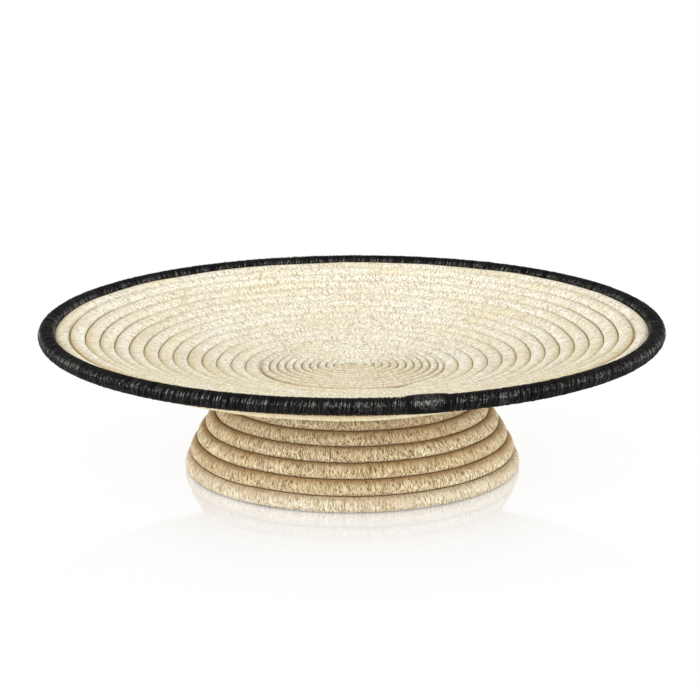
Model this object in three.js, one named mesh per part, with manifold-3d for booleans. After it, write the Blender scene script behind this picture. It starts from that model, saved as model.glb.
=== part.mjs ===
import * as THREE from 'three';
import { mergeVertices } from 'three/addons/utils/BufferGeometryUtils.js';
import Module from 'manifold-3d';

// Shallow tray of wrapped rope coils with a black bound rim, sewn onto a flared coiled foot.
// Millimetres, +Z up. The origin is under the centre of the tray, on the surface it stands on,
// and the front of the tray faces -Y.

// Driving dimensions of the tray
const TRAY_DIAMETER = 450;
const RIM_HEIGHT = 103; // centre line of the rim above the table
const RIM_WIDTH = 11.2; // rim rope, measured towards the centre
const RIM_DEPTH = 10.8; // rim rope, measured upright
const RIM_LIP = 1.8; // how far the line of the wall ends below the rim
const FLOOR_HEIGHT = 72; // centre line of the fine floor coil above the table
const FLOOR_DIAMETER = 133;
const FLOOR_TURNS = 11;
const KNOT_DIAMETER = 6.1;
const KNOT_HEIGHT = 6.4;
const WALL_TURNS = 14;
const WALL_START_SLOPE = 0.127; // rise per millimetre at the first wall turn
const OUTER_TURN_DROP = 2.2; // how far the last wall turn lies below the line of the others
const OUTER_TURN_DIP = 5.2; // the same at the front, where it sags most
const OUTER_TURN_DIP_REACH = 44 * THREE.MathUtils.DEG2RAD; // to each side of the front

// Driving dimensions of the foot
const FOOT_DIAMETER = 244.5;
const FOOT_TURNS = 7;
const FOOT_OUTSET = 3.4; // how far outside the wall's first turn the top turn is centred
const FOOT_SWEEP = 36 * THREE.MathUtils.DEG2RAD; // how far the side turns inwards on its way up
const FOOT_FLAT_SHARE = 0.1; // share of the rope's diameter that is pressed flat on the table

// Where each coil moves from one row to the next, and over what angle
const FULL_TURN = 2 * Math.PI;
const FRONT = -Math.PI / 2;
const SPLICE_ANGLE = FRONT + 12.6 * THREE.MathUtils.DEG2RAD;
const WALL_STEP_SECTOR = 45 * THREE.MathUtils.DEG2RAD;
const WALL_STEP_END = FRONT + 45 * THREE.MathUtils.DEG2RAD;
const FOOT_STEP_SECTOR = 45 * THREE.MathUtils.DEG2RAD;
const FOOT_STEP_END = FRONT + 210 * THREE.MathUtils.DEG2RAD;

// Bound joint of the rim, and the stitches that sew the foot on
const SPLICE_LENGTH = 22;
const SPLICE_SWELL = 1.1;
const STITCH_DIAMETER = 2.6;
const STITCH_LENGTH = 9;

// Clearances
const ROPE_GAP = 0.5; // between neighbouring turns
const SEAT_GAP = 0.3; // between pieces that touch

// Facets
const ROPE_STEPS = 24; // to a turn of the wall, the rim and the foot
const FLOOR_STEPS = 16;
const KNOT_SIDES = 12;
const STITCH_SIDES = 6;
const CORE_SIDES = 3;
const CORE_SHARE = 0.52; // corner radius of the core's channel as a share of the rope's radius
const TAIL_SHARE = 0.25; // thickness of a coil's tapered ends as a share of the rope's
const ROPE_STEP_ANGLE = FULL_TURN / ROPE_STEPS;

const wasm = await Module();
wasm.setup();

// Turns a closed geometry into a solid that can be cut.
function toSolid(geometry) {
  const bare = geometry.clone();
  bare.deleteAttribute('normal');
  bare.deleteAttribute('uv');
  const merged = mergeVertices(bare);
  const vertProperties = new Float32Array(merged.attributes.position.array);
  const triVerts = new Uint32Array(merged.index.array);
  return new wasm.Manifold(new wasm.Mesh({ numProp: 3, vertProperties, triVerts }));
}

// Turns a cut solid back into a geometry.
function toGeometry(solid) {
  const mesh = solid.getMesh();
  const geometry = new THREE.BufferGeometry();
  geometry.setAttribute('position', new THREE.BufferAttribute(mesh.vertProperties, 3));
  geometry.setIndex(new THREE.BufferAttribute(mesh.triVerts, 1));
  geometry.computeVertexNormals();
  return geometry;
}

// Section of a rope whose flat sides face the neighbouring turns: x along the wall, y across it.
function ropeOutline(halfWidth, halfHeight) {
  return [
    new THREE.Vector2(halfWidth, -halfHeight / 2),
    new THREE.Vector2(halfWidth, halfHeight / 2),
    new THREE.Vector2(0, halfHeight),
    new THREE.Vector2(-halfWidth, halfHeight / 2),
    new THREE.Vector2(-halfWidth, -halfHeight / 2),
    new THREE.Vector2(0, -halfHeight),
  ];
}

// Section with its points on the wide axis, for the rim.
function rimOutline(halfWidth, halfHeight) {
  return [
    new THREE.Vector2(halfWidth, 0),
    new THREE.Vector2(halfWidth / 2, halfHeight),
    new THREE.Vector2(-halfWidth / 2, halfHeight),
    new THREE.Vector2(-halfWidth, 0),
    new THREE.Vector2(-halfWidth / 2, -halfHeight),
    new THREE.Vector2(halfWidth / 2, -halfHeight),
  ];
}

// Section of a core, or of the channel that it lies in.
function coreOutline(cornerRadius) {
  const points = [];
  for (let side = 0; side < CORE_SIDES; side += 1) {
    const angle = Math.PI / 2 + (side * FULL_TURN) / CORE_SIDES;
    points.push(new THREE.Vector2(Math.cos(angle), Math.sin(angle)).multiplyScalar(cornerRadius));
  }
  return points;
}

// Corner radius of a core that clears its channel by the seat gap on every side.
function coreInside(channelRadius) {
  return channelRadius - SEAT_GAP / Math.cos(Math.PI / CORE_SIDES);
}

// Point of a section at a station: the section stands in the upright plane through the axis.
function sectionPoint(station, point) {
  const along = point.x * station.scale;
  const across = point.y * station.scale;
  const radius = station.radius + along * Math.cos(station.lean) - across * Math.sin(station.lean);
  const height = station.height + along * Math.sin(station.lean) + across * Math.cos(station.lean);
  return new THREE.Vector3(radius * Math.cos(station.angle), radius * Math.sin(station.angle), height);
}

// Closed tube through the stations, solid or with a channel that is open at both ends.
function sweep(stations, outline, channel = []) {
  const ring = [...outline, ...channel];
  const vertices = stations.flatMap((station) => ring.map((point) => sectionPoint(station, point)));
  const index = [];
  const addSkin = (first, count, outward) => {
    for (let s = 0; s < stations.length - 1; s += 1) {
      for (let p = 0; p < count; p += 1) {
        const a = s * ring.length + first + p;
        const b = s * ring.length + first + ((p + 1) % count);
        const c = b + ring.length;
        const d = a + ring.length;
        index.push(...(outward ? [a, c, b, a, d, c] : [a, b, c, a, c, d]));
      }
    }
  };
  addSkin(0, outline.length, true);
  addSkin(outline.length, channel.length, false);
  const holes = channel.length > 0 ? [channel] : [];
  const last = (stations.length - 1) * ring.length;
  for (const [a, b, c] of THREE.ShapeUtils.triangulateShape(outline, holes)) {
    index.push(a, b, c, last + a, last + c, last + b);
  }
  const geometry = new THREE.BufferGeometry();
  geometry.setAttribute('position', new THREE.Float32BufferAttribute(vertices.flatMap((v) => v.toArray()), 3));
  geometry.setIndex(index);
  geometry.computeVertexNormals();
  return geometry;
}

// Stations of one unbroken coil. Each row is level but for its step sector, where the rope moves
// over to the next row. The ends taper away in the wedges that the first and last step leave.
function coilStations({ rows, profile, startAngle, stepSector, steps }) {
  const stepCount = Math.round((steps * stepSector) / FULL_TURN);
  const levelCount = steps - stepCount;
  const firstTail = Math.ceil(stepCount * TAIL_SHARE);
  const stations = [];
  let index = firstTail - stepCount;
  const add = (row, scale) => {
    const angle = startAngle + (index * FULL_TURN) / steps;
    stations.push({ angle, scale, ...profile(row, angle) });
    index += 1;
  };
  for (let s = firstTail; s < stepCount; s += 1) {
    add((s / stepCount - 1) / 2, s / stepCount);
  }
  for (let row = 0; row < rows; row += 1) {
    for (let s = 0; s < levelCount; s += 1) {
      add(row, 1);
    }
    if (row < rows - 1) {
      for (let s = 0; s < stepCount; s += 1) {
        add(row + s / stepCount, 1);
      }
    }
  }
  for (let s = 0; s <= stepCount - firstTail; s += 1) {
    add(rows - 1 + s / stepCount / 2, 1 - s / stepCount);
  }
  return stations;
}

// Rope section for a coil, slim enough that facing turns keep their gap on every facet, also where
// the rope crosses to the next row at an angle and where the wall bends between two turns.
function ropeSize({ pitch, steps, innerRadius, stepSector, bend }) {
  const crossing = Math.atan(pitch / (stepSector * innerRadius));
  const facing = pitch * Math.cos(Math.PI / steps) * Math.cos(crossing);
  const halfHeight = pitch / 2;
  const halfWidth = (facing - ROPE_GAP - halfHeight * Math.sin(bend / 2)) / 2;
  return { halfWidth, halfHeight };
}

// Height that a section reaches above its own centre.
function reach(outline, lean) {
  return Math.max(...outline.map((point) => point.x * Math.sin(lean) + point.y * Math.cos(lean)));
}

// Least distance between turns of a coil, measured on points of its skin at the same place in
// each section, from every station to the stations about one turn further on.
function selfGap(stations, outline, steps) {
  const samples = outline.flatMap((point, i) => {
    const next = outline[(i + 1) % outline.length];
    return [point, point.clone().lerp(next, 0.25), point.clone().lerp(next, 0.5), point.clone().lerp(next, 0.75)];
  });
  const rings = stations.map((station) => samples.map((point) => sectionPoint(station, point)));
  const between = rings.slice(0, -1).map((ring, s) => ring.map((p, i) => p.clone().lerp(rings[s + 1][i], 0.5)));
  let least = Infinity;
  for (const family of [rings, between]) {
    for (let s = 0; s < family.length; s += 1) {
      for (let t = s + steps - 1; t <= Math.min(s + steps + 1, family.length - 1); t += 1) {
        for (const p of family[s]) {
          for (const q of family[t]) {
            least = Math.min(least, p.distanceTo(q));
          }
        }
      }
    }
  }
  return least;
}

function printSelfGap(name, stations, outline, steps) {
  console.log(`${name}: least gap to itself ${selfGap(stations, outline, steps).toFixed(2)} mm`);
}

// Floor: a fine rope that spirals out from the centre knot.
const floorStart = KNOT_DIAMETER / 2 + SEAT_GAP;
const floorPitch = (FLOOR_DIAMETER / 2 - floorStart) / FLOOR_TURNS;
const floorRope = ropeSize({
  pitch: floorPitch,
  steps: FLOOR_STEPS,
  innerRadius: floorStart + floorPitch / 2,
  stepSector: FULL_TURN,
  bend: 0,
});
const floorOutline = ropeOutline(floorRope.halfWidth, floorRope.halfHeight);
const floorStations = coilStations({
  rows: FLOOR_TURNS,
  profile: (row) => ({ radius: floorStart + floorPitch * (row + 0.5), height: FLOOR_HEIGHT, lean: 0 }),
  startAngle: SPLICE_ANGLE,
  stepSector: FULL_TURN,
  steps: FLOOR_STEPS,
});

// Wall: the dished part, from the floor's edge out to the rim. Its first turn is level with the top
// of the floor coil.
const rimInside = TRAY_DIAMETER / 2 - RIM_WIDTH;
const wallStart = (FLOOR_DIAMETER / 2 + SEAT_GAP) / Math.cos(Math.PI / ROPE_STEPS);
const wallEnd = rimInside - SEAT_GAP / 2;
const wallPitch = (wallEnd - wallStart) / WALL_TURNS;
const wallRun = wallPitch * (WALL_TURNS - 1);
const wallFirstHeight = FLOOR_HEIGHT + (floorPitch - wallPitch) / 2;
const wallRise = RIM_HEIGHT - RIM_LIP - wallFirstHeight;
const wallCurl = (wallRise - WALL_START_SLOPE * wallRun) / wallRun ** 2;

// How far the outer turn lies below the line of the others at an angle: most at the front.
function outerTurnDip(angle) {
  const fromFront = Math.abs(THREE.MathUtils.euclideanModulo(angle - FRONT + Math.PI, FULL_TURN) - Math.PI);
  const inReach = Math.min(fromFront / OUTER_TURN_DIP_REACH, 1);
  return THREE.MathUtils.lerp(OUTER_TURN_DROP, OUTER_TURN_DIP, Math.cos((inReach * Math.PI) / 2) ** 2);
}

function wallProfile(row, angle) {
  const run = row * wallPitch;
  const lean = Math.atan(WALL_START_SLOPE + 2 * wallCurl * run);
  const outerTurn = THREE.MathUtils.clamp(row - (WALL_TURNS - 2), 0, 1);
  const dip = outerTurn * outerTurnDip(angle);
  return {
    radius: wallStart + wallPitch / 2 + run + dip * Math.sin(lean),
    height: wallFirstHeight + WALL_START_SLOPE * run + wallCurl * run ** 2 - dip * Math.cos(lean),
    lean,
  };
}

const wallRope = ropeSize({
  pitch: wallPitch,
  steps: ROPE_STEPS,
  innerRadius: wallStart + wallPitch,
  stepSector: WALL_STEP_SECTOR,
  bend: 0,
});
const wallOutline = ropeOutline(wallRope.halfWidth, wallRope.halfHeight);
const wallChannel = CORE_SHARE * wallRope.halfHeight;
const wallStations = coilStations({
  rows: WALL_TURNS,
  profile: wallProfile,
  startAngle: WALL_STEP_END,
  stepSector: WALL_STEP_SECTOR,
  steps: ROPE_STEPS,
});

// Foot: the side follows an arc from the table up to the underside of the wall's first turn. The
// rope is as thick as the turns along that arc leave room for, so arc and rope are settled together.
const wallFirst = wallProfile(0, 0);
const footTopRadius = wallFirst.radius + FOOT_OUTSET;
const footBend = FOOT_SWEEP / (FOOT_TURNS - 1);
const wallUnderside = wallFirst.height - reach(wallOutline, wallFirst.lean);

function footLayout() {
  const SETTLING_ROUNDS = 30;
  let layout = { pitch: FOOT_DIAMETER / 2 / FOOT_TURNS, topLean: Math.PI };
  for (let round = 0; round < SETTLING_ROUNDS; round += 1) {
    const { halfWidth, halfHeight } = ropeSize({
      pitch: layout.pitch,
      steps: ROPE_STEPS,
      innerRadius: footTopRadius,
      stepSector: FOOT_STEP_SECTOR,
      bend: footBend,
    });
    const outline = ropeOutline(halfWidth, halfHeight);
    const bottomRadius = FOOT_DIAMETER / 2 - halfHeight;
    const bottomHeight = halfHeight - FOOT_FLAT_SHARE * layout.pitch;
    const topHeight = wallUnderside - SEAT_GAP - reach(outline, layout.topLean);
    const inward = bottomRadius - footTopRadius;
    const upward = topHeight - bottomHeight;
    const arcRadius = Math.hypot(inward, upward) / (2 * Math.sin(FOOT_SWEEP / 2));
    const startTilt = Math.atan2(inward, upward) - FOOT_SWEEP / 2;
    layout = {
      pitch: (arcRadius * FOOT_SWEEP) / (FOOT_TURNS - 1),
      topLean: Math.PI / 2 + startTilt + FOOT_SWEEP,
      outline,
      halfHeight,
      bottomRadius,
      bottomHeight,
      arcRadius,
      startTilt,
    };
  }
  return layout;
}

const foot = footLayout();

function footProfile(row) {
  const tilt = foot.startTilt + footBend * row;
  return {
    radius: foot.bottomRadius - foot.arcRadius * (Math.cos(foot.startTilt) - Math.cos(tilt)),
    height: foot.bottomHeight + foot.arcRadius * (Math.sin(tilt) - Math.sin(foot.startTilt)),
    lean: Math.PI / 2 + tilt,
  };
}

const footChannel = CORE_SHARE * foot.halfHeight;
const footStations = coilStations({
  rows: FOOT_TURNS,
  profile: footProfile,
  startAngle: FOOT_STEP_END,
  stepSector: FOOT_STEP_SECTOR,
  steps: ROPE_STEPS,
});

// The part of a coil at its full thickness, where the core runs.
function fullStations(stations) {
  return stations.filter((station) => station.scale === 1);
}

// The foot's wrap, with its lowest turn pressed flat on the table.
function footWrapGeometry() {
  const coil = toSolid(sweep(footStations, foot.outline, coreOutline(footChannel)));
  const slab = new THREE.BoxGeometry(FOOT_DIAMETER * 2, FOOT_DIAMETER * 2, foot.halfHeight);
  slab.translate(0, 0, -foot.halfHeight / 2);
  return toGeometry(coil.subtract(toSolid(slab)));
}

// Rim: one turn of black rope, open at the splice.
const rimRadius = TRAY_DIAMETER / 2 - RIM_WIDTH / 2;
const rimSection = rimOutline(RIM_WIDTH / 2, RIM_DEPTH / 2);
const rimChannel = (CORE_SHARE * RIM_DEPTH) / 2;
const spliceHalfAngle = SPLICE_LENGTH / 2 / rimRadius;
const seatAngle = SEAT_GAP / rimRadius;

const rimOpens = SPLICE_ANGLE + spliceHalfAngle + seatAngle;
const rimCloses = SPLICE_ANGLE + FULL_TURN - spliceHalfAngle - seatAngle;

function rimStations(angles) {
  return angles.map((angle) => ({ angle, radius: rimRadius, height: RIM_HEIGHT, lean: 0, scale: 1 }));
}

// Angles of the rim's wrap: its two ends and, between them, the same even steps as the wall.
function rimWrapAngles() {
  const toFirstStep = THREE.MathUtils.euclideanModulo(WALL_STEP_END - rimOpens, ROPE_STEP_ANGLE);
  const angles = [rimOpens];
  for (let angle = rimOpens + toFirstStep; angle < rimCloses; angle += ROPE_STEP_ANGLE) {
    angles.push(angle);
  }
  angles.push(rimCloses);
  return angles;
}

const rimWrapStations = rimStations(rimWrapAngles());
const rimCoreStations = rimStations([
  SPLICE_ANGLE + 2 * seatAngle,
  ...rimWrapAngles(),
  SPLICE_ANGLE + FULL_TURN - 2 * seatAngle,
]);

// The splice swells upwards and outwards, clear of the wall.
function spliceGeometry() {
  const swollen = rimOutline((RIM_WIDTH + SPLICE_SWELL) / 2, (RIM_DEPTH + SPLICE_SWELL) / 2);
  const lift = new THREE.Vector2(SPLICE_SWELL / 2, SPLICE_SWELL / 2);
  const outline = swollen.map((point) => point.add(lift));
  const stations = rimStations([SPLICE_ANGLE - spliceHalfAngle, SPLICE_ANGLE, SPLICE_ANGLE + spliceHalfAngle]);
  return sweep(stations, outline, coreOutline(rimChannel));
}

// Knot that the floor coil starts round.
function knotGeometry() {
  const radius = KNOT_DIAMETER / 2;
  const profile = new THREE.Path();
  profile.absellipse(0, 0, radius, KNOT_HEIGHT / 2, -Math.PI / 2, Math.PI / 2);
  const points = profile.getPoints(3);
  points[0].x = 0;
  points[points.length - 1].x = 0;
  const knot = new THREE.LatheGeometry(points, KNOT_SIDES);
  knot.rotateX(Math.PI / 2);
  return knot;
}

// Stitches: short bights, one on each straight facet, in the crease between the foot's top turn and
// the wall's first, inside the foot. They lie against both ropes, so their place follows from both.
function stitchPlace() {
  const footTop = footProfile(FOOT_TURNS - 1);
  const toFoot = foot.halfHeight + SEAT_GAP + STITCH_DIAMETER / 2;
  const toWall = wallRope.halfHeight + SEAT_GAP + STITCH_DIAMETER / 2;
  const line = new THREE.Vector2(wallFirst.radius - footTop.radius, wallFirst.height - footTop.height);
  const span = line.length();
  line.normalize();
  const along = (toFoot ** 2 - toWall ** 2 + span ** 2) / (2 * span);
  const aside = Math.sqrt(toFoot ** 2 - along ** 2);
  const facetShare = Math.cos(Math.PI / ROPE_STEPS);
  return {
    radius: (footTop.radius + line.x * along - line.y * aside) * facetShare,
    height: footTop.height + line.y * along + line.x * aside,
  };
}

function stitchGeometry() {
  const points = [
    new THREE.Vector2(0, -STITCH_LENGTH / 2),
    new THREE.Vector2(STITCH_DIAMETER / 2, -STITCH_LENGTH / 4),
    new THREE.Vector2(STITCH_DIAMETER / 2, STITCH_LENGTH / 4),
    new THREE.Vector2(0, STITCH_LENGTH / 2),
  ];
  return new THREE.LatheGeometry(points, STITCH_SIDES);
}

// Whether an angle lies within a coil's step sector, where the rope is on the move.
function inSector(angle, sectorEnd, sector) {
  return THREE.MathUtils.euclideanModulo(sectorEnd - angle, FULL_TURN) < sector;
}

// Finishes
const natural = { color: 0xe0cfa9, roughness: 0.85, metalness: 0 };
const golden = { color: 0xcdb083, roughness: 0.85, metalness: 0 };
const black = { color: 0x262627, roughness: 0.6, metalness: 0 };
const fibre = { color: 0xa98b5d, roughness: 0.95, metalness: 0 };

function addPiece(group, name, geometry, finish) {
  const mesh = new THREE.Mesh(geometry, new THREE.MeshStandardMaterial(finish));
  mesh.name = name;
  group.add(mesh);
  return mesh;
}

const tray = new THREE.Group();
addPiece(tray, 'centre_knot', knotGeometry(), natural).position.z = FLOOR_HEIGHT;
addPiece(tray, 'floor_coil', sweep(floorStations, floorOutline), natural);
addPiece(tray, 'wall_coil_wrap', sweep(wallStations, wallOutline, coreOutline(wallChannel)), natural);
addPiece(tray, 'wall_coil_core', sweep(fullStations(wallStations), coreOutline(coreInside(wallChannel))), fibre);
addPiece(tray, 'rim_wrap', sweep(rimWrapStations, rimSection, coreOutline(rimChannel)), black);
addPiece(tray, 'rim_core', sweep(rimCoreStations, coreOutline(coreInside(rimChannel))), fibre);
addPiece(tray, 'rim_splice_binding', spliceGeometry(), black);

const pedestal = new THREE.Group();
addPiece(pedestal, 'foot_coil_wrap', footWrapGeometry(), golden);
addPiece(pedestal, 'foot_coil_core', sweep(fullStations(footStations), coreOutline(coreInside(footChannel))), fibre);

const stitch = stitchPlace();
const stitches = new THREE.Group();
let stitchNumber = 1;
for (let facet = 0; facet < ROPE_STEPS; facet += 1) {
  const angle = FOOT_STEP_END + (facet + 0.5) * ROPE_STEP_ANGLE;
  const wallMoves = inSector(angle, WALL_STEP_END, WALL_STEP_SECTOR);
  const footMoves = inSector(angle, FOOT_STEP_END, FOOT_STEP_SECTOR);
  if (!wallMoves && !footMoves) {
    const name = `foot_stitch_${String(stitchNumber).padStart(2, '0')}`;
    const mesh = addPiece(stitches, name, stitchGeometry(), golden);
    mesh.position.set(stitch.radius * Math.cos(angle), stitch.radius * Math.sin(angle), stitch.height);
    mesh.rotation.z = angle;
    stitchNumber += 1;
  }
}

printSelfGap('floor_coil', floorStations, floorOutline, FLOOR_STEPS);
printSelfGap('wall_coil_wrap', wallStations, wallOutline, ROPE_STEPS);
printSelfGap('foot_coil_wrap', footStations, foot.outline, ROPE_STEPS);

const group = new THREE.Group();
group.add(tray, pedestal, stitches);

export default group;
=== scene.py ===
import math

import bpy
from mathutils import Matrix, Vector, noise


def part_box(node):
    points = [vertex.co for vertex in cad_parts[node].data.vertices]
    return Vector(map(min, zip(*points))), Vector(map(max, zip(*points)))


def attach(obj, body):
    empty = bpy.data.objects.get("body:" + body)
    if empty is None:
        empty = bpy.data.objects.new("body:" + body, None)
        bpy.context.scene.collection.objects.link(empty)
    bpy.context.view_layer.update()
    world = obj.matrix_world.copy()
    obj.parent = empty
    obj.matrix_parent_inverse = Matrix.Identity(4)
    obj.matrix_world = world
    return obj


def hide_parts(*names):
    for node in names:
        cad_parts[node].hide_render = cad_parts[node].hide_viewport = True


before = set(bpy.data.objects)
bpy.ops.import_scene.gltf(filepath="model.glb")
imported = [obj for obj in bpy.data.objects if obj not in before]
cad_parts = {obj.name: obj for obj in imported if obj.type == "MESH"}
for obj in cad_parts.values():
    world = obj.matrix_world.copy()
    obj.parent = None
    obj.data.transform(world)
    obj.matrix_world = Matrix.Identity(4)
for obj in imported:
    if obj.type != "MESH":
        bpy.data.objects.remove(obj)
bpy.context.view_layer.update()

# Shallow tray of wrapped rope coils with a black bound rim, on a flared coiled foot.
# Metres, +Z up, the front of the tray faces -Y. The ropes follow the routes of the solids.

MM = 0.001
FULL_TURN = 2 * math.pi
FRONT = -math.pi / 2


# Sizes taken from the frame

def middle_height(node):
    low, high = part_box(node)
    return (low.z + high.z) / 2


TRAY_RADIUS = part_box("rim_wrap")[1].x
RIM_HEIGHT = middle_height("rim_wrap")
RIM_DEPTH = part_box("rim_wrap")[1].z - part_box("rim_wrap")[0].z
RIM_WIDTH = 11.2 * MM
RIM_RADIUS = TRAY_RADIUS - RIM_WIDTH / 2
FLOOR_HEIGHT = middle_height("floor_coil")
FLOOR_RADIUS = 66.5 * MM
FLOOR_TURNS = 11
FOOT_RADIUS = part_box("foot_coil_wrap")[1].x
FOOT_TURNS = 7
KNOT_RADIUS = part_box("centre_knot")[1].x
KNOT_HALF_HEIGHT = (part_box("centre_knot")[1].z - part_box("centre_knot")[0].z) / 2
SEAT_GAP = 0.3 * MM

# Where each coil moves over to its next row
SPLICE_ANGLE = FRONT + math.radians(12.6)
SPLICE_LENGTH = 22 * MM
SPLICE_SWELL = 1.1 * MM
STEP_SECTOR = math.radians(45)
WALL_STEP_END = FRONT + math.radians(45)
FOOT_STEP_END = FRONT + math.radians(210)


# Camera at the photograph's viewing angle

CAMERA_DISTANCE = 1.8
CAMERA_ELEVATION = math.radians(14.15)
CAMERA_AIM_HEIGHT = 0.0851
CAMERA_ROLL = math.radians(-0.28)
CAMERA_SENSOR = 36
CAMERA_LENS = 127.63
CAMERA_SHIFT = -0.0026

bpy.ops.object.select_all(action="DESELECT")
bpy.ops.object.camera_add(
    location=(
        0,
        -CAMERA_DISTANCE * math.cos(CAMERA_ELEVATION),
        CAMERA_AIM_HEIGHT + CAMERA_DISTANCE * math.sin(CAMERA_ELEVATION),
    ),
    rotation=(math.pi / 2 - CAMERA_ELEVATION, 0, 0),
)
camera = bpy.context.object
camera.rotation_euler.rotate_axis("Z", CAMERA_ROLL)
camera.data.sensor_width = CAMERA_SENSOR
camera.data.lens = CAMERA_LENS
camera.data.shift_x = CAMERA_SHIFT
bpy.context.scene.camera = camera


# Material maths: a socket that Python's operators work on

LANE_SHIFT = 9  # how far a lane of dashes may lie ahead of its neighbour


class Socket:
    def __init__(self, tree, output=None):
        self.tree = tree
        self.output = output

    def node(self, kind, settings=None, inputs=None, output=0):
        made = self.tree.nodes.new(kind)
        for name, value in (settings or {}).items():
            setattr(made, name, value)
        for name, value in (inputs or {}).items():
            if isinstance(value, Socket):
                self.tree.links.new(value.output, made.inputs[name])
            else:
                made.inputs[name].default_value = value
        return Socket(self.tree, made.outputs[output] if made.outputs else None)

    def math(self, operation, *operands):
        inputs = dict(enumerate(operands))
        return self.node("ShaderNodeMath", {"operation": operation}, inputs)

    def __add__(self, other):
        return self.math("ADD", self, other)

    def __radd__(self, other):
        return self.math("ADD", other, self)

    def __sub__(self, other):
        return self.math("SUBTRACT", self, other)

    def __rsub__(self, other):
        return self.math("SUBTRACT", other, self)

    def __mul__(self, other):
        return self.math("MULTIPLY", self, other)

    def __rmul__(self, other):
        return self.math("MULTIPLY", other, self)

    def __truediv__(self, other):
        return self.math("DIVIDE", self, other)

    def __pow__(self, other):
        return self.math("POWER", self, other)

    def floor(self):
        return self.math("FLOOR", self)

    def fraction(self):
        return self.math("FRACT", self)

    def size(self):
        return self.math("ABSOLUTE", self)

    def sine(self):
        return self.math("SINE", self)

    def fade(self, low, high):
        return self.node(
            "ShaderNodeMapRange",
            {"interpolation_type": "SMOOTHSTEP"},
            {"Value": self, "From Min": low, "From Max": high},
        )

    def vector(self, x, y):
        return self.node("ShaderNodeCombineXYZ", {}, {"X": x, "Y": y})

    def cloud(self, place, scale, detail=2.0):
        return self.node(
            "ShaderNodeTexNoise",
            {"noise_dimensions": "3D"},
            {"Vector": place, "Scale": scale, "Detail": detail},
        )

    def streaks(self, along, round_, scale):
        """A cloud drawn out on a rope's map, by one scale along the rope and one round it."""
        return self.cloud(self.vector(along * scale[0], round_ * scale[1]), 1.0)

    def chance(self, number, other=0.0):
        place = self.vector(number, other)
        return self.node("ShaderNodeTexWhiteNoise", {"noise_dimensions": "2D"}, {"Vector": place})

    def dashes(self, lanes, lengthwise):
        """Random tones of short dashes that lie side by side in lanes."""
        lane = lanes.floor()
        return self.chance(lane, (lengthwise + self.chance(lane) * LANE_SHIFT).floor())

    def blend(self, share, first, second):
        return self.node(
            "ShaderNodeMix",
            {"data_type": "RGBA"},
            {0: share, 6: first, 7: second},
            output=2,
        )


def colour(red, green, blue):
    """A colour given by its screen values from 0 to 255, as the shader wants it."""
    linear = []
    for value in (red, green, blue):
        share = value / 255
        linear.append(share / 12.92 if share <= 0.04045 else ((share + 0.055) / 1.055) ** 2.4)
    return (*linear, 1.0)


def new_material(name):
    material = bpy.data.materials.new(name)
    material.use_nodes = True
    material.node_tree.nodes.clear()
    return material, Socket(material.node_tree)


def finish_material(sheet, base, roughness, height, relief, constants):
    normal = sheet.node(
        "ShaderNodeBump", {}, {"Strength": 1.0, "Distance": relief, "Height": height}
    )
    inputs = {"Base Color": base, "Roughness": roughness, "Normal": normal, **constants}
    surface = sheet.node("ShaderNodeBsdfPrincipled", {}, inputs)
    sheet.node("ShaderNodeOutputMaterial", {}, {"Surface": surface})


ROPE_MAP = "along_and_round"
FIRST_REACH = (0.95, 0.45)  # metres along a rope over which its first tones give way; these paint the foot's bottom turn paler, as painted light from the bright floor
LAST_REACH = (2.3, 3.0)  # and over which its last tone, painted shade of the tray over the foot's top turns, comes in
CREASE_START = (10 * MM, 60 * MM)  # where the painted crease shade begins, along a rope

# Scales of the slow changes, along a rope and round it
DRIFT_SCALE = (60, 3)
BROAD_SCALE = (30, 2.5)
BATCH_SCALE = (13, 1.5)

# How the strands and their fibres run, and what each adds to the lightness
STRAND_LENGTHS = 9  # dashes of strand in one turn round a rope
STRAND_DRIFT = 3
FIBRE_DRIFT = 5
FIBRE_LAY = 1.6
STRAND_WEIGHT = 0.32
FIBRE_WEIGHT = 0.88
BROAD_WEIGHT = 0.12
GROOVE_SHADE_WEIGHT = 0.15

# Where the other tones begin and end, and how ragged their edges are: the batch colour, and the
# painted shade of the rows' sides and creases
BATCH_REACH = (0.48, 0.72)
BATCH_RAGGED = 0.35
BATCH_SHIFT = 0.18
SIDE_SHADE_RAGGED = 0.5
UNDER_SHADE_REACH = (-0.1, 0.4)
CREASE_STRAND_RAGGED = 0.1
CREASE_FIBRE_RAGGED = 0.06
CREASE_HEART = (0.88, 0.97)  # out of sight between the rows, where the line fades again
CREASE_HEART_SHARE = 0.75


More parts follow.
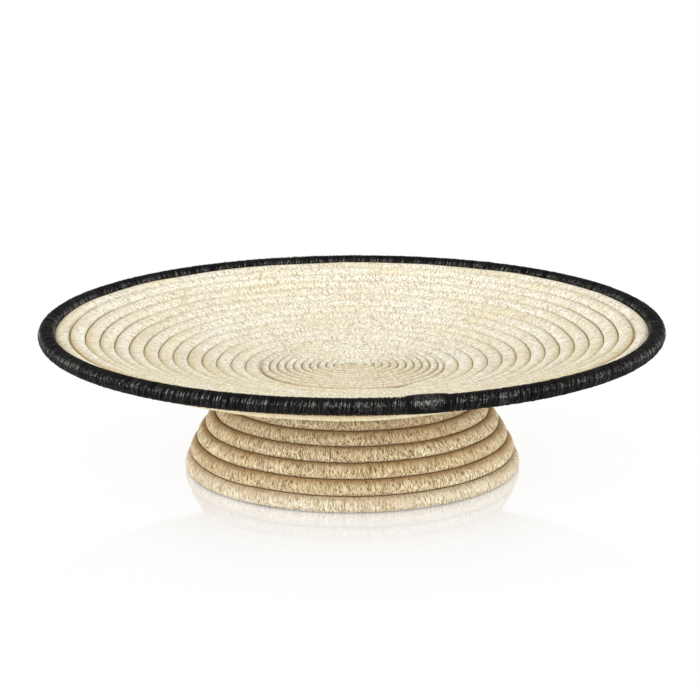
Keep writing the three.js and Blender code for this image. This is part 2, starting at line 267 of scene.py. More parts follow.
def wrapped_rope(name, tones, strand, lay, grain, lengths, relief):
    """Rope wrapped in fine strands: short dashes of tone, and painted shade: a golden side and darker
    creases.
    """
    material, sheet = new_material(name)
    place = sheet.node("ShaderNodeUVMap", {"uv_map": ROPE_MAP})
    along = sheet.node("ShaderNodeSeparateXYZ", {}, {"Vector": place})
    round_ = sheet.node("ShaderNodeSeparateXYZ", {}, {"Vector": place}, output=1)

    drift = sheet.streaks(along, round_, DRIFT_SCALE)
    broad = sheet.streaks(along, round_, BROAD_SCALE)
    strands = along / strand + round_ * lay + drift * STRAND_DRIFT
    fibres = along / grain + round_ * lay * FIBRE_LAY + drift * FIBRE_DRIFT
    edge = (strands.fraction() - 0.5).size() * 2
    coarse = sheet.dashes(strands, round_ * STRAND_LENGTHS)
    fine = sheet.dashes(fibres, round_ * lengths)

    lightness = tones["ground"] + coarse * STRAND_WEIGHT + fine * FIBRE_WEIGHT
    # Painted shade: the grooves between strands are darkened
    lightness = lightness + (broad - 0.5) * BROAD_WEIGHT - edge ** 3 * GROOVE_SHADE_WEIGHT
    deep, pale = tones["deep"], tones["pale"]
    side_shade_share = tones["side_shade_share"]
    # Painted light: the foot's bottom turn, by the bright floor, is paler and has less of the painted
    # side shade
    if "first_deep" in tones:
        first = along.fade(*FIRST_REACH) * tones["first_share"]
        deep = sheet.blend(first, deep, tones["first_deep"])
        pale = sheet.blend(first, pale, tones["first_pale"])
        side_shade_share = side_shade_share * (1 - first * tones["first_bare"])
    base = sheet.blend(lightness, deep, pale)

    batch = sheet.streaks(along, round_, BATCH_SCALE) + fine * BATCH_RAGGED - BATCH_SHIFT
    base = sheet.blend(batch.fade(*BATCH_REACH) * tones["batch_share"], base, tones["batch"])
    # Painted shade: one side of each row is tinted darker, the top of each foot row and the outer side
    # of each dish row, where the row or tray above shades it
    side_shade = (round_ * FULL_TURN).sine() + (fine - 0.5) * SIDE_SHADE_RAGGED
    shade = side_shade.fade(*tones["side_shade_reach"]) * side_shade_share
    base = sheet.blend(shade, base, tones["side_shade"])
    # Painted shade: the underside of each row is tinted darker too
    if "under" in tones:
        under = (round_ * FULL_TURN + math.pi / 2).sine()
        base = sheet.blend(under.fade(*UNDER_SHADE_REACH) * tones["under_share"], base, tones["under"])
    # Painted shade: the foot's top turns, in the tray's shadow, are tinted darker
    if "last" in tones:
        last = along.fade(*LAST_REACH) * tones["last_share"]
        base = sheet.blend(last, base, tones["last"])
    # Painted shade: the rows' sides are darkened where they meet in the creases
    beside = 1 - ((round_ * 2).fraction() - 0.5).size() * 2
    uneven = beside + coarse * CREASE_STRAND_RAGGED + fine * CREASE_FIBRE_RAGGED
    heart = beside.fade(*CREASE_HEART) * CREASE_HEART_SHARE
    line = uneven.fade(*tones["crease_reach"]) * (1 - heart)
    crease = line * along.fade(*CREASE_START)
    base = sheet.blend(crease * tones["crease_share"], base, tones["crease"])

    roughness = 0.65 + fine * 0.2
    height = (1 - edge * edge) * 0.6 + coarse * 0.4 + fine * 0.3
    constants = {"Specular IOR Level": 0.15, "Sheen Weight": 0.03, "Sheen Roughness": 0.5}
    finish_material(sheet, base, roughness, height, relief, constants)
    return material


natural_tones = {
    "pale": colour(255, 252, 238),
    "deep": colour(152, 127, 52),
    "ground": 0.2,
    # painted shade on the outer side of each row
    "side_shade": colour(208, 188, 130),
    "side_shade_reach": (-0.2, 0.9),
    "side_shade_share": 0.42,
    # painted shade on the underside of each row
    "under": colour(203, 184, 138),
    "under_share": 0.4,
    "batch": colour(220, 192, 118),
    "batch_share": 0.36,
    # painted shade in the creases
    "crease": colour(182, 142, 72),
    "crease_reach": (0.75, 0.86),
    "crease_share": 0.65,
}
natural_rope = wrapped_rope(
    "natural_abaca_wrap",
    natural_tones,
    strand=1.0 * MM,
    lay=5,
    grain=0.75 * MM,
    lengths=24,
    relief=0.35 * MM,
)

fine_tones = {
    **natural_tones,
    "ground": 0.16,
    # painted shade on the outer side of each row
    "side_shade": colour(182, 154, 96),
    "side_shade_reach": (0.0, 0.9),
    "side_shade_share": 0.58,
    # painted shade in the creases
    "crease": colour(140, 104, 56),
    "crease_reach": (0.7, 0.83),
    "crease_share": 0.9,
}
fine_rope = wrapped_rope(
    "fine_abaca_wrap",
    fine_tones,
    strand=1.2 * MM,
    lay=3,
    grain=0.8 * MM,
    lengths=14,
    relief=0.35 * MM,
)

golden_tones = {
    "pale": colour(252, 241, 206),
    "deep": colour(114, 76, 8),
    "ground": -0.04,
    # painted light: the bottom turn paler by the bright floor
    "first_pale": colour(255, 252, 236),
    "first_deep": colour(164, 134, 80),
    "first_share": 0.95,
    "first_bare": 0.45,
    # painted shade of the tray over the top turns
    "last": colour(142, 104, 54),
    "last_share": 0.13,
    # painted shade on the top of each row, under the tray
    "side_shade": colour(142, 99, 28),
    "side_shade_reach": (-0.1, 0.8),
    "side_shade_share": 0.66,
    "batch": colour(180, 138, 66),
    "batch_share": 0.25,
    # painted shade in the creases
    "crease": colour(104, 58, 10),
    "crease_reach": (0.78, 0.88),
    "crease_share": 0.95,
}
golden_rope = wrapped_rope(
    "golden_abaca_wrap",
    golden_tones,
    strand=0.9 * MM,
    lay=5,
    grain=0.5 * MM,
    lengths=24,
    relief=0.4 * MM,
)


# The rim's painted highlights: heights over its centre line between which they show, and their ticks
SHOULDER_RISE = (0.6 * MM, 2 * MM)
SHOULDER_FALL = (4.8 * MM, 3.4 * MM)
SHOULDER_LEAST = 0.22  # share of the painted highlights that shows off the shoulder too
GLINT_DEPTH = 0.4 * MM
TICK_LENGTH = 1.3 * MM
TICK_WEIGHT = 0.45
TICK_REACH = (0.45, 1.0)
TICK_SCALE = 700.0
PATCH_SCALE = 160.0
PATCH_REACH = (0.35, 0.7)
BLACK_FIBRE_SCALE = (500, 5)


def black_strand(name, glint_from):
    """Dyed strands of the rim: nearly black, with painted highlights, grey ticks where they stand out,
    strongest on its shoulder.
    """
    material, sheet = new_material(name)
    place = sheet.node("ShaderNodeUVMap", {"uv_map": ROPE_MAP})
    along = sheet.node("ShaderNodeSeparateXYZ", {}, {"Vector": place})
    round_ = sheet.node("ShaderNodeSeparateXYZ", {}, {"Vector": place}, output=1)
    spot = sheet.node("ShaderNodeTexCoord", output="Object")
    height = sheet.node("ShaderNodeSeparateXYZ", {}, {"Vector": spot}, output="Z") - RIM_HEIGHT
    flat = sheet.node("ShaderNodeVectorMath", {"operation": "MULTIPLY"}, {0: spot, 1: (1, 1, 0)})
    across = sheet.node("ShaderNodeVectorMath", {"operation": "LENGTH"}, {0: flat}, output="Value")
    across = across - RIM_RADIUS
    proud = (across * across + height * height) ** 0.5
    shoulder = height.fade(*SHOULDER_RISE) * height.fade(*SHOULDER_FALL)
    patches = sheet.cloud(spot, PATCH_SCALE).fade(*PATCH_REACH)
    base = sheet.blend(patches, colour(7, 7, 7), colour(20, 19, 18))
    # Painted highlights: grey ticks on the strands' crests, strongest on the shoulder where the lamps
    # glint
    ticks = sheet.chance((along / TICK_LENGTH).floor()) * TICK_WEIGHT
    ticks = (ticks + sheet.cloud(spot, TICK_SCALE)).fade(*TICK_REACH)
    top = proud.fade(glint_from, glint_from + GLINT_DEPTH)
    painted_glints = ticks * top * (SHOULDER_LEAST + shoulder * (1 - SHOULDER_LEAST))
    base = sheet.blend(painted_glints, base, colour(132, 131, 127))
    fibres = sheet.streaks(along, round_, BLACK_FIBRE_SCALE)
    roughness = 0.42 + fibres * 0.15
    finish_material(sheet, base, roughness, fibres, 0.15 * MM, {"Specular IOR Level": 0.05})
    return material


def loose_fibre():
    """Raw fibre inside the ropes."""
    material, sheet = new_material("core_fibre")
    place = sheet.node("ShaderNodeTexCoord", output="Object")
    coarse = sheet.cloud(place, 90.0, 3.0)
    fine = sheet.cloud(place, 900.0)
    base = sheet.blend(coarse.fade(0.3, 0.7), colour(150, 118, 72), colour(196, 168, 120))
    finish_material(sheet, base, 0.85 + fine * 0.1, fine, 0.3 * MM, {"Specular IOR Level": 0.2})
    return material


black_rope = black_strand("black_abaca_strand", glint_from=5.75 * MM)
black_binding = black_strand("black_abaca_binding", glint_from=6.7 * MM)
core_fibre = loose_fibre()


# Meshes

BAKE_MAP = "OFBake"
BAKE_MARGIN = 0.05


class Skin:
    """Collects tubes into one mesh, with the length along each tube and the way round it as a map."""

    def __init__(self):
        self.points = []
        self.faces = []
        self.places = []
        self.spans = []

    def tube(self, rings, seam=0.0):
        """Adds a tube through rings of points, closed by a point at each end."""
        sides = len(rings[0])
        first = len(self.points)
        centres = [sum(ring, Vector()) / sides for ring in rings]
        length = 0.0
        lengths = [0.0]
        for here, there in zip(centres, centres[1:]):
            length += (there - here).length
            lengths.append(length)
        for ring in rings:
            self.points.extend(ring)
        for r in range(len(rings) - 1):
            near, far = lengths[r], lengths[r + 1]
            for s in range(sides):
                a = first + r * sides + s
                b = first + r * sides + (s + 1) % sides
                self.faces.append((a, b, b + sides, a + sides))
                left, right = s / sides + seam, (s + 1) / sides + seam
                self.places.append(((near, left), (near, right), (far, right), (far, left)))
        for centre, ring_start, along, turn in (
            (centres[0], first, 0.0, -1),
            (centres[-1], first + (len(rings) - 1) * sides, length, 1),
        ):
            tip = len(self.points)
            self.points.append(centre)
            for s in range(sides):
                a = ring_start + s
                b = ring_start + (s + 1) % sides
                left, right = s / sides + seam, (s + 1) / sides + seam
                middle = (left + right) / 2
                if turn > 0:
                    self.faces.append((a, b, tip))
                    self.places.append(((along, left), (along, right), (along, middle)))
                else:
                    self.faces.append((b, a, tip))
                    self.places.append(((along, right), (along, left), (along, middle)))
        girth = sum((rings[0][s] - rings[0][s - 1]).length for s in range(sides))
        self.spans.append((length, girth, len(rings) - 1, sides))

    def bake_places(self):
        """Each face's place in a square map where the tubes' lengths are folded into even rows."""
        total = sum(span[0] for span in self.spans)
        girth = sum(span[0] * span[1] for span in self.spans) / total
        rows = max(1, round(math.sqrt(total / girth)))
        row_length = total / rows
        places = []
        done = 0.0
        index = 0
        for length, _, count, sides in self.spans:
            for face in range(index, index + count * sides + 2 * sides):
                corners = self.places[face]
                lowest = min(corner[0] for corner in corners)
                row = min(int((done + lowest) / row_length), rows - 1)
                spots = []
                first_turn = min(corner[1] for corner in self.places[index])
                for along, round_ in corners:
                    x = (done + along) / row_length - row
                    y = BAKE_MARGIN + (1 - 2 * BAKE_MARGIN) * (round_ - first_turn)
                    spots.append((min(x, 1.0), (row + y) / rows))
                places.append(spots)
            index += count * sides + 2 * sides
            done += length
        return places

    def piece(self, name, material, slot, *nodes):
        mesh = bpy.data.meshes.new(name)
        mesh.from_pydata(self.points, [], self.faces)
        mesh.polygons.foreach_set("use_smooth", [True] * len(mesh.polygons))
        for map_name, places in ((ROPE_MAP, self.places), (BAKE_MAP, self.bake_places())):
            layer = mesh.uv_layers.new(name=map_name, do_init=False)
            flat = [number for face in places for corner in face for number in corner]
            layer.uv.foreach_set("vector", flat)
        mesh.materials.append(material)
        mesh.update()
        made = bpy.data.objects.new(name, mesh)
        bpy.context.scene.collection.objects.link(made)
        dress(made, slot, *nodes)


def dress(piece, slot, *nodes):
    """Every piece rides on the one body and stands for its nodes, whose solids it hides; its slot is
    not used.
    """
    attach(piece, "root")
    if nodes:
        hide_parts(*nodes)


# Routes of the coils

ROPE_TAIL = 0.1  # share of its last step that a rope's end is cut short by


def ease(share):
    return share * share * (3 - 2 * share)


def coil_route(rows, place, start, sector, steps):
    """Stations of one unbroken coil: level rows that each step over to the next in one sector."""
    step_count = max(1, round(steps * sector / FULL_TURN))
    level_count = steps - step_count
    eased = ease if level_count else float
    route = []
    first_step = math.ceil(step_count * ROPE_TAIL)
    index = first_step - step_count
    for s in range(first_step, step_count):
        share = eased(s / step_count)
        route.append((share / 2 - 0.5, share))
    for row in range(rows):
        route.extend((row, 1.0) for _ in range(level_count))
        if row < rows - 1:
            route.extend((row + eased(s / step_count), 1.0) for s in range(step_count))
    for s in range(step_count - first_step + 1):
        share = eased(s / step_count)
        route.append((rows - 1 + share / 2, 1 - share))
    stations = []
    for row, scale in route:
        angle = start + index * FULL_TURN / steps
        stations.append((angle, scale, *place(row, angle)))
        index += 1
    return stations


PRESS = 1.05  # how much wider a rope is than its row, so that no light falls between rows
WOBBLE = 0.45 * MM
WOBBLE_SCALE = 24.0
WOBBLE_SEED = 1  # fixed, because noise vectors otherwise follow the clock
LUMP = 0.22 * MM
LUMP_SCALE = 70.0
LUMP_ROUND = 9  # how fast the lumps change from a rope's underside to its top
noise.seed_set(WOBBLE_SEED)


def rope_rings(stations, half_width, half_height, sides, squareness, seam=0.0, lowest=-1.0):
    """Rings of a rope: its sides meet the neighbouring rows, its faces are slightly lumpy."""
    rings = []
    for angle, scale, radius, height, lean in stations:
        outward = Vector((math.cos(angle), math.sin(angle), 0))
        ring = []
        for s in range(sides):
            turn = (s / sides + seam) * FULL_TURN
            x, y = math.sin(turn), -math.cos(turn)
            x = math.copysign(abs(x) ** (2 / squareness), x) * half_width * scale * PRESS
            y = math.copysign(abs(y) ** (2 / squareness), y)
            centre = outward * radius + Vector((0, 0, height))
            lumps = noise.noise(centre * LUMP_SCALE + Vector((0, 0, LUMP_ROUND * y)))
            y *= (half_height + LUMP * lumps) * scale
            point = outward * (radius + x * math.cos(lean) - y * math.sin(lean))
            point.z = height + x * math.sin(lean) + y * math.cos(lean)
            point += noise.noise_vector(point * WOBBLE_SCALE) * WOBBLE
            point.z = max(point.z, lowest)
            ring.append(point)
        rings.append(ring)
    return rings


# Floor: a fine rope that spirals out from the centre knot

FLOOR_STATIONS = 96  # in one turn
FLOOR_SIDES = 16
FLOOR_SQUARENESS = 2.0
SOLID_STEPS = 24  # straight lengths in one turn of the solids
FACET_SHARE = math.cos(math.pi / SOLID_STEPS)
wall_start = (FLOOR_RADIUS + SEAT_GAP) / FACET_SHARE
floor_start = KNOT_RADIUS
floor_pitch = (wall_start - floor_start) / FLOOR_TURNS


def floor_place(row, angle):
    return floor_start + floor_pitch * (row + 0.5), FLOOR_HEIGHT, 0.0


floor_route = coil_route(FLOOR_TURNS, floor_place, SPLICE_ANGLE, FULL_TURN, FLOOR_STATIONS)
floor_half = floor_pitch / 2
floor_rope = Skin()
floor_rope.tube(rope_rings(floor_route, floor_half, floor_half, FLOOR_SIDES, FLOOR_SQUARENESS))
floor_rope.piece("floor_coil_rope", fine_rope, "natural_abaca", "floor_coil")

# Wall: the dished part, level with the floor at its first turn and rising to the rim

WALL_TURNS = 14
WALL_STATIONS = 240
WALL_SIDES = 24
WALL_SQUARENESS = 2.8
WALL_START_SLOPE = 0.127
RIM_LIP = 1.8 * MM
OUTER_TURN_DROP = 2.2 * MM
OUTER_TURN_DIP = 5.2 * MM
OUTER_TURN_DIP_REACH = math.radians(44)
rim_inside = TRAY_RADIUS - RIM_WIDTH
wall_end = rim_inside - SEAT_GAP / 2
wall_pitch = (wall_end - wall_start) / WALL_TURNS
wall_run = wall_pitch * (WALL_TURNS - 1)
wall_first_height = FLOOR_HEIGHT + (floor_pitch - wall_pitch) / 2
wall_rise = RIM_HEIGHT - RIM_LIP - wall_first_height
wall_curl = (wall_rise - WALL_START_SLOPE * wall_run) / wall_run ** 2


def wall_place(row, angle):
    run = row * wall_pitch
    lean = math.atan(WALL_START_SLOPE + 2 * wall_curl * run)
    from_front = abs((angle - FRONT + math.pi) % FULL_TURN - math.pi)
    share = math.cos(min(from_front / OUTER_TURN_DIP_REACH, 1) * math.pi / 2) ** 2
    outer_turn = min(max(row - (WALL_TURNS - 2), 0), 1)
    dip = outer_turn * (OUTER_TURN_DROP + (OUTER_TURN_DIP - OUTER_TURN_DROP) * share)
    radius = wall_start + wall_pitch / 2 + run + dip * math.sin(lean)
    height = wall_first_height + WALL_START_SLOPE * run + wall_curl * run ** 2 - dip * math.cos(lean)
    return radius, height, lean


wall_route = coil_route(WALL_TURNS, wall_place, WALL_STEP_END, STEP_SECTOR, WALL_STATIONS)
wall_half = wall_pitch / 2
wall_rope = Skin()
wall_rope.tube(rope_rings(wall_route, wall_half, wall_half, WALL_SIDES, WALL_SQUARENESS))
wall_rope.piece("wall_coil_rope", natural_rope, "natural_abaca", "wall_coil_wrap")

# Foot: its side follows an arc from the table up to the underside of the wall's first turn

FOOT_STATIONS = 220
FOOT_SIDES = 28
FOOT_SQUARENESS = 2.7
FOOT_ROPE_HALF = 5.74 * MM
FOOT_SWEEP = math.radians(36)
FOOT_OUTSET = 3.4 * MM
FOOT_SEAM = 0.5  # half a turn round, so that the mesh's seam lies inside the foot
# How far the bottom and top turns' centres lie from the foot's faces, in half thicknesses
FOOT_BOTTOM_SHARE = 0.8
FOOT_TOP_SHARE = 0.94
foot_bend = FOOT_SWEEP / (FOOT_TURNS - 1)
foot_bottom_radius = FOOT_RADIUS - FOOT_ROPE_HALF
foot_bottom_height = FOOT_ROPE_HALF * FOOT_BOTTOM_SHARE
foot_top_radius = wall_start + wall_pitch / 2 + FOOT_OUTSET
foot_top_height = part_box("foot_coil_wrap")[1].z - FOOT_ROPE_HALF * FOOT_TOP_SHARE
foot_inward = foot_bottom_radius - foot_top_radius
foot_upward = foot_top_height - foot_bottom_height
foot_arc = math.hypot(foot_inward, foot_upward) / (2 * math.sin(FOOT_SWEEP / 2))
foot_start_tilt = math.atan2(foot_inward, foot_upward) - FOOT_SWEEP / 2
foot_pitch = foot_arc * FOOT_SWEEP / (FOOT_TURNS - 1)


def foot_place(row, angle):
    tilt = foot_start_tilt + foot_bend * row
    radius = foot_bottom_radius - foot_arc * (math.cos(foot_start_tilt) - math.cos(tilt))
    height = foot_bottom_height + foot_arc * (math.sin(tilt) - math.sin(foot_start_tilt))
    return radius, height, math.pi / 2 + tilt


foot_route = coil_route(FOOT_TURNS, foot_place, FOOT_STEP_END, STEP_SECTOR, FOOT_STATIONS)
foot_rope = Skin()
foot_rings = rope_rings(
    foot_route,
    foot_pitch / 2,
    FOOT_ROPE_HALF,
    FOOT_SIDES,
    FOOT_SQUARENESS,
    FOOT_SEAM,
    lowest=0.0,
)
foot_rope.tube(foot_rings, FOOT_SEAM)
foot_rope.piece("foot_coil_rope", golden_rope, "golden_abaca", "foot_coil_wrap")

# Rim: black strands wound round a padding in several starts

RIM_STARTS = 6
RIM_LEAD = 6 * MM
RIM_PIECES = 3
STRAND_RADIUS = 0.55 * MM
STRAND_STATIONS = 20  # in one turn round the rim
STRAND_SIDES = 5
STRAND_SLIP = 0.45 * MM
STRAND_SWELL = 0.35 * MM
STRAND_UNEVEN = 0.4
RIM_PLUMP = 0.5 * MM  # how far the strands stand out from the rope that they cover


def around_rim(angle, turn, wide, deep):
    """Point on an oval round the rim's centre line: turn 0 faces outwards, a quarter turn faces up."""
    radius = RIM_RADIUS + wide * math.cos(turn)
    height = RIM_HEIGHT + deep * math.sin(turn)
    return Vector((radius * math.cos(angle), radius * math.sin(angle), height))


UPRIGHT_LIMIT = 0.2  # a strand's sideways share under which it counts as lined up


def strand_rings(path, radii, sides):
    """Rings of a strand along a path, square to it, with a radius for each point."""
    rings = []
    up = Vector((0, 0, 1))
    for i, point in enumerate(path):
        ahead = path[min(i + 1, len(path) - 1)] - path[max(i - 1, 0)]
        ahead.normalize()
        side = ahead.cross(up)
        if side.length < UPRIGHT_LIMIT:
            side = ahead.cross(Vector((1, 0, 0)))
        side.normalize()
        other = side.cross(ahead)
        ring = []
        for s in range(sides):
            turn = s * FULL_TURN / sides
            ring.append(point + (side * math.cos(turn) + other * math.sin(turn)) * radii[i])
        rings.append(ring)
        up = other
    return rings


def wound_strand(first_angle, last_angle, start_turn, wide, deep, seed):
    """Path and radii of one strand wound round the rim between two angles."""
    turns = (last_angle - first_angle) * RIM_RADIUS / RIM_LEAD
    count = int(turns * STRAND_STATIONS)
    path = []
    radii = []
    for i in range(count + 1):
        share = i / count
        turn = start_turn + share * turns * FULL_TURN
        spot = Vector((share * turns * 1.9, seed * 7.3, 0.5))
        slip = noise.noise(spot) * STRAND_SLIP / RIM_RADIUS
        angle = first_angle + share * (last_angle - first_angle) + slip
        swell = noise.noise(spot * 1.6 + Vector((0, 0, 5))) * STRAND_SWELL
        path.append(around_rim(angle, turn, wide + swell, deep + swell))
        uneven = STRAND_UNEVEN * noise.noise(spot * 1.7 + Vector((3, 0, 0)))
        radii.append(STRAND_RADIUS * (1 + uneven))
    return path, radii


splice_half_angle = SPLICE_LENGTH / 2 / RIM_RADIUS
rim_opens = SPLICE_ANGLE + splice_half_angle
rim_closes = SPLICE_ANGLE + FULL_TURN - splice_half_angle
strand_wide = RIM_WIDTH / 2 - STRAND_RADIUS + RIM_PLUMP
strand_deep = RIM_DEPTH / 2 - STRAND_RADIUS + RIM_PLUMP
for third in range(RIM_PIECES):
    strands = Skin()
    for start in range(third, RIM_STARTS, RIM_PIECES):
        start_turn = start * FULL_TURN / RIM_STARTS
        path, radii = wound_strand(
            rim_opens, rim_closes, start_turn, strand_wide, strand_deep, start
        )
        strands.tube(strand_rings(path, radii, STRAND_SIDES))
    nodes = ["rim_wrap"] if third == 0 else []
    strands.piece(f"rim_wrap_strands_{third + 1}", black_rope, "black_abaca", *nodes)

PADDING_INSET = 0.4 * MM
PADDING_STATIONS = 180
PADDING_SIDES = 12
padding_wide = strand_wide - PADDING_INSET
padding_deep = strand_deep - PADDING_INSET
padding = Skin()
padding_rings = []
for i in range(PADDING_STATIONS + 1):
    angle = SPLICE_ANGLE + i * FULL_TURN / PADDING_STATIONS
    ring = []
    for s in range(PADDING_SIDES):
        turn = s * FULL_TURN / PADDING_SIDES
        ring.append(around_rim(angle, turn, padding_wide, padding_deep))
    padding_rings.append(ring)
padding.tube(padding_rings)
padding.piece("rim_padding", black_rope, "black_abaca")

# Splice: a single strand bound tightly over the rim's joint

BINDING_LEAD = 1.3 * MM
BINDING_STRAND = 0.7 * MM
BINDING_OVERLAP = 6 * MM
BINDING_STATIONS = 24  # in one turn round the rim
BINDING_SIDES = 6
BINDING_UNEVEN = 0.25 * MM
binding = Skin()
binding_path = []
binding_length = SPLICE_LENGTH + BINDING_OVERLAP
binding_turns = binding_length / BINDING_LEAD
binding_count = int(binding_turns * BINDING_STATIONS)
for i in range(binding_count + 1):
    share = i / binding_count
    angle = SPLICE_ANGLE + (share - 0.5) * binding_length / RIM_RADIUS
    bulge = math.sin(math.pi * share) ** 0.5
    turn = share * binding_turns * FULL_TURN
    spot = Vector((share * binding_turns * 0.8, 3.1, 8.0))
    swell = SPLICE_SWELL * bulge + noise.noise(spot) * BINDING_UNEVEN
    lift = swell / 2
    point = around_rim(angle, turn, strand_wide + lift, strand_deep + lift)
    point += Vector((math.cos(angle) * lift, math.sin(angle) * lift, lift))
    binding_path.append(point)
binding_radii = [BINDING_STRAND] * len(binding_path)
binding.tube(strand_rings(binding_path, binding_radii, BINDING_SIDES))
binding.piece("splice_binding_strand", black_binding, "black_abaca", "rim_splice_binding")

# Knot that the floor coil starts round: one strand wound from pole to pole

KNOT_STRAND = 0.85 * MM
KNOT_STATIONS = 180
KNOT_SIDES = 8
KNOT_WINDS = 5.5
KNOT_POLE = math.radians(82)
knot = Skin()
knot_path = []
for i in range(KNOT_STATIONS + 1):
    share = i / KNOT_STATIONS
    pole = KNOT_POLE * (2 * share - 1)
    turn = share * KNOT_WINDS * FULL_TURN
    reach = (KNOT_RADIUS - KNOT_STRAND) * math.cos(pole)
    height = FLOOR_HEIGHT + (KNOT_HALF_HEIGHT - KNOT_STRAND) * math.sin(pole)
    knot_path.append(Vector((reach * math.cos(turn), reach * math.sin(turn), height)))
knot.tube(strand_rings(knot_path, [KNOT_STRAND] * len(knot_path), KNOT_SIDES))
knot.piece("centre_knot_strand", fine_rope, "natural_abaca", "centre_knot")

# Stitches that sew the foot on: three strands twisted together, one bundle for each solid

STITCH_STRAND = 0.6 * MM
STITCH_STRANDS = 3
STITCH_REACH = 4.5 * MM
STITCH_TWIST = 0.8 * math.pi
STITCH_PINCH = 0.85
STITCH_TAPER = 0.7
STITCH_STATIONS = 16
STITCH_SIDES = 6


def stitch_rings(start, thick):
    """Rings of one strand of a stitch, thinner towards its ends."""
    path = []
    radii = []
    for i in range(STITCH_STATIONS + 1):
        share = 2 * i / STITCH_STATIONS - 1
        turn = start + share * STITCH_TWIST
        spread = (thick - STITCH_STRAND) * math.sqrt(1 - STITCH_PINCH * share * share)
        path.append(
            Vector((spread * math.cos(turn), share * STITCH_REACH, spread * math.sin(turn)))
        )
        radii.append(STITCH_STRAND * math.sqrt(1 - STITCH_TAPER * share * share))
    return strand_rings(path, radii, STITCH_SIDES)


stitch_nodes = sorted(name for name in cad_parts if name.startswith("foot_stitch_"))
for node in stitch_nodes:
    low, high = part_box(node)
    centre = (low + high) / 2
    angle = math.atan2(centre.y, centre.x)
    thick = (high.z - low.z) / 2
    turned = Matrix.Translation(centre) @ Matrix.Rotation(angle, 4, "Z")
    bundle = Skin()
    for strand in range(STITCH_STRANDS):
        rings = stitch_rings(strand * FULL_TURN / STITCH_STRANDS, thick)
        bundle.tube([[turned @ point for point in ring] for ring in rings])
    bundle.piece(node + "_strands", golden_rope, "golden_abaca", node)

# Cores stay as they are, inside the wraps

for node in ("wall_coil_core", "rim_core", "foot_coil_core"):
    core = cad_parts[node]
    core.data.materials.clear()
    core.data.materials.append(core_fibre)

# Floor and light

FLOOR_SIDE = 8
FLOOR_LEVEL = -0.2 * MM
FLOOR_GLOW = 0.32  # light that the bright table throws back up
MIRROR_ROUGHNESS = 0.06
SHADOW_SHARE = 0.2
MIRROR_SHARE = 0.5
FADE_LENGTH = 45 * MM
CONTACT_LENGTH = 9 * MM
SKY_ABOVE = 0.55
SKY_LEVEL = 2.2
WHITE = (1, 1, 1, 1)
GREY = (0.8, 0.8, 0.8, 1)
BLACK = (0, 0, 0, 1)


def shown_rays(sheet):
    """One where a ray shows the background itself: straight, in a reflection or through glass."""
    straight = sheet.node("ShaderNodeLightPath", output="Is Camera Ray")
    mirrored = sheet.node("ShaderNodeLightPath", output="Is Glossy Ray")
    through = sheet.node("ShaderNodeLightPath", output="Is Transmission Ray")
    return sheet.math("MAXIMUM", straight, sheet.math("MAXIMUM", mirrored, through))


bpy.ops.object.select_all(action="DESELECT")
bpy.ops.mesh.primitive_plane_add(size=FLOOR_SIDE, location=(0, 0, FLOOR_LEVEL))
floor = bpy.context.object
floor.name = "studio_floor"
material, sheet = new_material("studio_floor_white")
place = sheet.node("ShaderNodeTexCoord", output="Object")
away = sheet.node("ShaderNodeVectorMath", {"operation": "LENGTH"}, {0: place}, output="Value")
inside = sheet.math("MINIMUM", FOOT_RADIUS - away, 0.0)
fade = sheet.math("EXPONENT", inside / FADE_LENGTH)
open_share = 1 - sheet.math("EXPONENT", inside / CONTACT_LENGTH)
white = sheet.node("ShaderNodeBsdfDiffuse", {}, {"Color": GREY})
thrown = sheet.blend(open_share, BLACK, (FLOOR_GLOW, FLOOR_GLOW, FLOOR_GLOW, 1))
bounce = sheet.node("ShaderNodeEmission", {}, {"Color": thrown, "Strength": 1.0})
lit = sheet.node("ShaderNodeAddShader", {}, {0: white, 1: bounce})
glow = sheet.node("ShaderNodeEmission", {}, {"Color": WHITE, "Strength": 1.0})
bright = sheet.node("ShaderNodeBsdfDiffuse", {}, {"Color": WHITE})
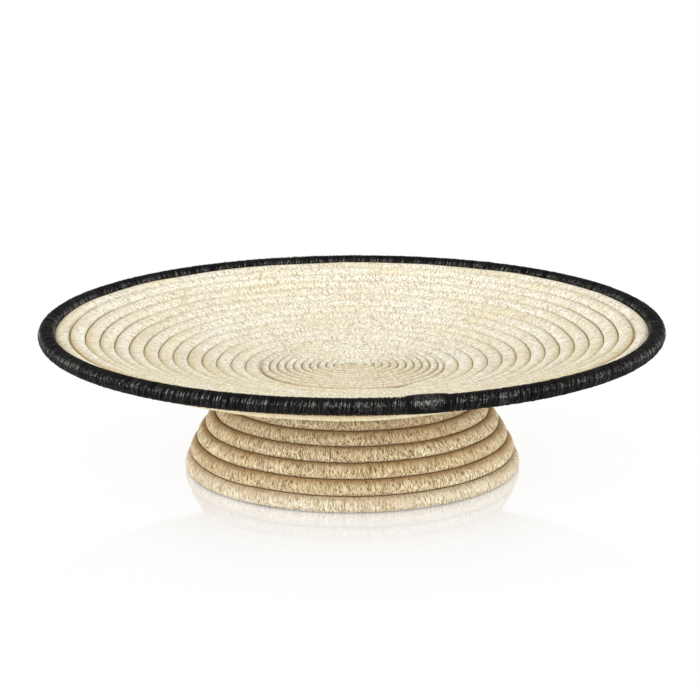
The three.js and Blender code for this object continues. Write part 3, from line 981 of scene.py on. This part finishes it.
shaded = sheet.node("ShaderNodeMixShader", {}, {0: fade * SHADOW_SHARE, 1: glow, 2: bright})
mirror = sheet.node(
    "ShaderNodeBsdfGlossy", {}, {"Color": WHITE, "Roughness": MIRROR_ROUGHNESS}
)
shown = sheet.node("ShaderNodeMixShader", {}, {0: fade * MIRROR_SHARE, 1: shaded, 2: mirror})
surface = sheet.node("ShaderNodeMixShader", {}, {0: shown_rays(sheet), 1: lit, 2: shown})
sheet.node("ShaderNodeOutputMaterial", {}, {"Surface": surface})
floor.data.materials.append(material)

world = bpy.data.worlds.new("studio")
bpy.context.scene.world = world
world.use_nodes = True
world.node_tree.nodes.clear()
sky = Socket(world.node_tree)
towards = sky.node("ShaderNodeTexCoord", output="Generated")
upward = sky.node("ShaderNodeSeparateXYZ", {}, {"Vector": towards}, output="Z").size()
light = SKY_ABOVE + (SKY_LEVEL - SKY_ABOVE) * (1 - upward) * (1 - upward)
lighting = sky.node("ShaderNodeBackground", {}, {"Color": light, "Strength": 1.0})
backdrop = sky.node("ShaderNodeBackground", {}, {"Color": WHITE, "Strength": 1.0})
seen = sky.node("ShaderNodeMixShader", {}, {0: shown_rays(sky), 1: lighting, 2: backdrop})
sky.node("ShaderNodeOutputWorld", {}, {"Surface": seen})


def soft_light(name, location, aim, size, power):
    direction = Vector(aim) - Vector(location)
    turn = direction.to_track_quat("-Z", "Y").to_euler()
    bpy.ops.object.light_add(type="AREA", location=location, rotation=turn)
    lamp = bpy.context.object
    lamp.name = name
    lamp.data.shape = "DISK"
    lamp.data.size = size
    lamp.data.energy = power


DISH_AIM = (0, 0, 0.08)
SIDE_AIM = (0, 0, 0.05)
soft_light("front_softbox", (-0.25, -1.8, 1.5), DISH_AIM, size=0.9, power=9)
soft_light("overhead_spot", (0, -1.2, 2.1), DISH_AIM, size=0.3, power=8.5)
soft_light("left_softbox", (-1.6, -0.5, 0.4), SIDE_AIM, size=1.0, power=9)
soft_light("right_softbox", (1.6, -0.5, 0.4), SIDE_AIM, size=1.0, power=9)

bpy.context.scene.view_settings.view_transform = "Standard"
